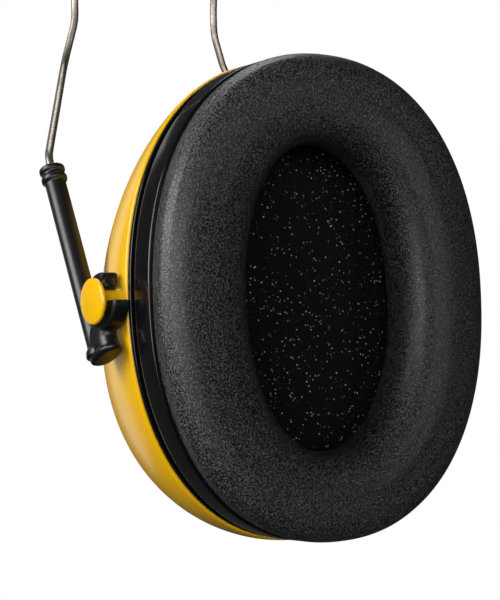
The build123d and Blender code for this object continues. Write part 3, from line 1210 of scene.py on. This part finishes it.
@dataclass
class SpringWire:
    """One of the two wires over the head, from a right guide to a left one."""

    end: End
    space: CupSpace
    offset: float = 7.5 * MM
    middle: float = 43.3 * MM
    radius: float = 0.85 * MM
    foot: float = -5.5 * MM
    jog_start: float = 38.2 * MM
    jog_start_round: float = 6.0 * MM
    knee_half_spacing: float = 22.7 * MM
    knee_height: float = 58.2 * MM
    knee_round: float = 10.0 * MM
    half_spacing: float = 19.5 * MM
    neck_height: float = 68.6 * MM
    neck_round: float = 14.0 * MM
    reach: float = 72.2 * MM
    straight: float = 3.4 * MM
    side_radius: float = 36.0 * MM
    side_angle: float = math.radians(56.0)

    def on_leg(self, along: float) -> np.ndarray:
        """Point on the leg's axis at a distance up it from the pivot's foot."""
        guide = WireGuide(self.space, self.end, self.offset, self.middle)
        return guide.world(np.array(self.offset), np.array(along), np.array(0.0))

    def half_route(self) -> np.ndarray:
        """Centre line of the left half: up the leg, out along the jog, up, and over the arch to the crown.

        Returns:
            The points, foot first.
        """
        y = self.end.value * self.half_spacing
        x = self.space.face + self.reach
        knee = np.array([x, self.end.value * self.knee_half_spacing, self.knee_height])
        neck = np.array([x, y, self.neck_height])
        base = np.array([x, y, self.neck_height + self.straight])
        foot, top = self.on_leg(self.foot), self.on_leg(self.jog_start)
        rising = [foot[None], self.corner(foot, top, knee, self.jog_start_round),
                  self.corner(top, knee, neck, self.knee_round),
                  self.corner(knee, neck, base, self.neck_round)]
        turn = np.linspace(0, self.side_angle, 24)
        side = np.stack([x - self.side_radius * (1 - np.cos(turn)), 0 * turn + y,
                         base[2] + self.side_radius * np.sin(turn)], -1)
        top_radius, centre = self.crown_arc()
        swing = np.linspace(math.pi / 2 - self.side_angle, 0, 48)
        top = np.stack([top_radius * np.sin(swing), 0 * swing + y, centre + top_radius * np.cos(swing)], -1)
        return np.vstack([*rising, side, top[1:]])

    def crown_arc(self) -> tuple[float, float]:
        """Radius of the crown arc and the height of its centre, tangent to the side arcs.

        Returns:
            The radius and the centre's height.
        """
        x = self.space.face + self.reach
        radius = self.side_radius + (x - self.side_radius) / math.cos(self.side_angle)
        drop = (radius - self.side_radius) * math.sin(self.side_angle)
        return radius, self.neck_height + self.straight - drop

    def corner(self, before: np.ndarray, at: np.ndarray, after: np.ndarray, radius: float) -> np.ndarray:
        """Arc of the given radius that rounds a corner, as points from tangent to tangent.

        Args:
            before: point before the corner.
            at: the corner.
            after: point after it.
            radius: the arc's radius.

        Returns:
            The arc's points.
        """
        back, on = before - at, after - at
        back, on = back / np.linalg.norm(back), on / np.linalg.norm(on)
        turn = math.pi - math.acos(float(back @ on))
        tangent = radius * math.tan(turn / 2)
        middle = (back + on) / np.linalg.norm(back + on)
        centre = at + middle * radius / math.cos(turn / 2)
        start = at + back * tangent - centre
        stop = at + on * tangent - centre
        share = np.linspace(0, 1, 14)[:, None]
        return centre + (np.sin((1 - share) * turn) * start + np.sin(share * turn) * stop) / math.sin(turn)

    def route(self) -> np.ndarray:
        """Whole centre line from the right foot to the left, evenly spaced.

        Returns:
            The points.
        """
        left = self.half_route()
        right = left[:-1] * np.array([-1.0, 1.0, 1.0])
        return resampled(np.vstack([right, left[::-1]]), 620, closed=False)

    def make(self, steel: bpy.types.Material) -> bpy.types.Object:
        """Carry a circle along the route, with a small head on each end inside the guides.

        The circle's two directions at a point are the y axis less its part along the tangent, and the cross
        product of the tangent with that.

        Args:
            steel: the wire's finish.

        Returns:
            The finished piece.
        """
        line = self.route()
        tangent = np.gradient(line, axis=0)
        tangent /= np.linalg.norm(tangent, axis=1, keepdims=True)
        across = np.array([0.0, 1.0, 0.0]) - tangent[:, 1:2] * tangent
        across /= np.linalg.norm(across, axis=1, keepdims=True)
        up = np.cross(tangent, across)
        from_end = np.minimum(np.arange(len(line)), np.arange(len(line))[::-1])
        radius = np.where(from_end < 3, 1.25 * MM, self.radius)[:, None, None]
        turns = np.linspace(0, 2 * np.pi, 20, endpoint=False)[None, :, None]
        points = line[:, None] + radius * (np.cos(turns) * across[:, None] + np.sin(turns) * up[:, None])
        piece = grid_mesh(f"{self.end.word}_spring_wire", points, False, True, True)
        dress(piece, steel, Slot.STEEL, "headband", f"{self.end.word}_wire")
        return piece


@dataclass
class CrownPad:
    """Vinyl sleeve round the wires at the crown, padded underneath, with welded long edges."""

    wire: SpringWire
    half_angle: float = math.radians(23.0)
    half_width: float = 25.0 * MM
    under: float = 8.0 * MM
    over: float = 2.6 * MM
    rows: int = 200

    def section(self) -> np.ndarray:
        """Section across the band: y and height from the wires, crowned, with ridges over the wires.

        The upper side is flat with a low ridge over each wire; the lower side bulges by a cosine; the two
        meet in a thin welded flange on each edge.

        Returns:
            The closed section's points.
        """
        half, flange = self.half_width - 1.8 * MM, 1.8 * MM
        y = np.linspace(-1, 1, 61)
        ridge = np.exp(-(((np.abs(y) * half - self.wire.half_spacing) / (1.7 * MM)) ** 2))
        edge = np.clip(1 - np.abs(y) ** 7, 0, 1) ** 0.5
        top = (0.7 * MM + 0.9 * MM * ridge + 0.5 * MM * np.cos(y * np.pi / 2)) * edge
        bottom = -(self.under - 1.1 * MM) * edge * (0.84 + 0.16 * np.cos(y * np.pi / 2)) - 0.5 * MM
        upper = np.stack([y * half, top], -1)
        lower = np.stack([y * half, bottom], -1)[::-1]
        right = np.array([(half + flange * 0.5, -0.05 * MM), (half + flange, -0.1 * MM),
                          (half + flange, -0.75 * MM), (half + flange * 0.5, -0.8 * MM)])
        left = right[::-1] * np.array([-1.0, 1.0])
        return resampled(np.vstack([upper, right, lower, left]), 220, closed=True)

    def make(self, vinyl: bpy.types.Material) -> bpy.types.Object:
        """Carry the section along the crown arc; it tapers to a flat hem at both ends.

        Args:
            vinyl: the sleeve's finish.

        Returns:
            The finished piece.
        """
        radius, centre = self.wire.crown_arc()
        swing = np.linspace(-1, 1, self.rows)
        end = np.clip((1 - np.abs(swing)) / 0.035, 0, 1)
        pinch = (0.30 + 0.70 * np.sin(end * np.pi / 2))[:, None]
        puff = 1 + 0.018 * np.cos(swing * np.pi * 9)[:, None]
        section = self.section()
        height = section[None, :, 1] * pinch * puff
        y = np.broadcast_to(section[None, :, 0], height.shape)
        angle = (swing * self.half_angle)[:, None]
        x = (radius + height) * np.sin(angle)
        z = centre + (radius + height) * np.cos(angle)
        piece = grid_mesh("headband_pad", np.stack([x, y, z], -1), False, True, True)
        dress(piece, vinyl, Slot.VINYL, "headband", "headband_sleeve", "headband_foam", "headband_spreader")
        return piece


# ---- stage --------------------------------------------------------------------------------


@dataclass(frozen=True)
class Softbox:
    """Rectangular light, placed round the right cup by its angle from straight in front of the cup."""

    name: str
    azimuth: float
    elevation: float
    distance: float
    width: float
    height: float
    power: float


SOFTBOXES = (
    Softbox("key_light", 34.0, 4.0, 1.1, 1.5, 0.50, 10.0),
    Softbox("fill_light", -18.0, 4.0, 1.1, 0.35, 0.5, 1.5),
    Softbox("side_light", 100.0, 22.0, 1.0, 0.6, 0.6, 10.0),
    Softbox("rim_light", 178.0, 5.0, 0.9, 0.30, 0.9, 0.55),
    Softbox("back_light", -155.0, 60.0, 1.3, 0.6, 0.6, 5.0),
)


@dataclass
class Studio:
    """Camera, lights and floor."""

    target: Vector = field(default_factory=lambda: Vector((-0.05, 0.0, 0.0)))
    azimuth: float = math.radians(35.0)
    elevation: float = math.radians(-2.5)
    roll: float = math.radians(2.0)
    distance: float = 0.320
    right_shift: float = 0.0188
    up_shift: float = 0.0010
    focal: float = 95.2
    floor_drop: float = 0.30
    floor_radius: float = 1.6
    backdrop_radius: float = 6.0
    ambient: float = 0.045
    lamps: tuple[Softbox, ...] = SOFTBOXES

    def camera(self) -> None:
        """Place the camera in front of the right cup's sealing face, turned towards the front."""
        tip = self.roll
        back = self.heading()
        side = Vector((math.sin(self.azimuth), math.cos(self.azimuth), 0))
        up = back.cross(side)
        right = side * math.cos(tip) - up * math.sin(tip)
        top = side * math.sin(tip) + up * math.cos(tip)
        data = bpy.data.cameras.new("camera")
        data.lens = self.focal
        data.clip_start, data.clip_end = 0.01, 20
        eye = bpy.data.objects.new("camera", data)
        place = self.target - right * self.right_shift - top * self.up_shift + back * self.distance
        eye.matrix_world = Matrix.Translation(place) @ Matrix((right, top, back)).transposed().to_4x4()
        bpy.context.scene.collection.objects.link(eye)
        bpy.context.scene.camera = eye

    def light(self, lamp: Softbox) -> None:
        """Add a softbox that faces the right cup.

        Args:
            lamp: the softbox.
        """
        data = bpy.data.lights.new(lamp.name, "AREA")
        data.shape, data.size, data.size_y, data.energy = "RECTANGLE", lamp.width, lamp.height, lamp.power
        swing, lift = math.radians(lamp.azimuth), math.radians(lamp.elevation)
        away = Vector((math.cos(swing) * math.cos(lift), -math.sin(swing) * math.cos(lift), math.sin(lift)))
        piece = bpy.data.objects.new(lamp.name, data)
        piece.location = self.target + away * lamp.distance
        piece.rotation_euler = away.to_track_quat("Z", "Y").to_euler()
        piece.visible_camera = False
        bpy.context.scene.collection.objects.link(piece)

    def floor(self) -> None:
        """Pale floor under the object, partly self-lit and hidden from bounced light, so it stays even."""
        turn, reach = np.meshgrid(np.linspace(0, 2 * np.pi, 96, endpoint=False), np.array([0.02, 1.0]))
        radius = self.floor_radius * reach
        level = np.full_like(turn, -self.floor_drop)
        disc = np.stack([radius * np.cos(turn), radius * np.sin(turn), level], -1)
        plane = grid_mesh("floor", disc, False, True, False)
        sheet = ShaderSheet("pale_floor")
        plane.data.materials.append(
            sheet.finish(Base_Color=(0.3, 0.3, 0.3), Roughness=0.9, Emission_Color=(1.0, 1.0, 1.0),
                         Emission_Strength=0.86)
        )
        plane.visible_diffuse = False
        plane.visible_glossy = False

    def surroundings(self) -> bpy.types.World:
        """Dim even world, so that black edges stay dark.

        Returns:
            The world.
        """
        world = bpy.data.worlds.new("studio")
        world.use_nodes = True
        world.node_tree.nodes["Background"].inputs["Color"].default_value = (*[self.ambient] * 3, 1.0)
        return world

    def backdrop(self) -> None:
        """White sphere round the studio: only the camera sees it, so it lights nothing."""
        turn, rise = np.meshgrid(np.linspace(0, 2 * np.pi, 48, endpoint=False), np.linspace(-1.5, 1.5, 24))
        ball = np.stack([np.cos(turn) * np.cos(rise), np.sin(turn) * np.cos(rise), np.sin(rise)], -1)
        screen = grid_mesh("backdrop", self.backdrop_radius * ball, False, True, True)
        sheet = ShaderSheet("white_backdrop")
        screen.data.materials.append(
            sheet.finish(Base_Color=(0.0, 0.0, 0.0), Emission_Color=(1.0, 1.0, 1.0), Emission_Strength=1.0,
                         Specular_IOR_Level=0.0)
        )
        for ray in ("diffuse", "glossy", "transmission", "volume_scatter", "shadow"):
            setattr(screen, f"visible_{ray}", False)

    def heading(self) -> Vector:
        """Unit vector from the right cup towards the camera."""
        flat = Vector((math.cos(self.azimuth), -math.sin(self.azimuth), 0))
        return flat * math.cos(self.elevation) + Vector((0, 0, math.sin(self.elevation)))

    def build(self) -> None:
        """Set the stage."""
        scene = bpy.context.scene
        scene.view_settings.view_transform = "Standard"
        scene.world = self.surroundings()
        self.camera()
        self.floor()
        self.backdrop()
        for lamp in self.lamps:
            self.light(lamp)


def main() -> None:
    """Build every piece of the earmuffs and the stage round them."""
    logging.basicConfig(level=logging.INFO, format="%(message)s")
    yellow, gloss, satin = YELLOW_ABS.build(), BLACK_GLOSS.build(), BLACK_SATIN.build()
    cushion_vinyl, band_vinyl = CUSHION_VINYL.build(), BAND_VINYL.build()
    foam, steel = LINER_FOAM.build(), WIRE_STEEL.build()
    Studio().build()
    for side in Side:
        space = cup_space(side)
        Shell(space).make(yellow)
        cushion = Cushion(space)
        cushion.make_skin(cushion_vinyl)
        cushion.make_plate(gloss)
        FoamLiner(space).make(foam)
        for end in End:
            WireGuide(space, end).make(satin)
    left = cup_space(Side.LEFT)
    wires = [SpringWire(end, left) for end in End]
    for wire in wires:
        wire.make(steel)
    CrownPad(wires[0]).make(band_vinyl)


if __name__ == "__main__":
    main()
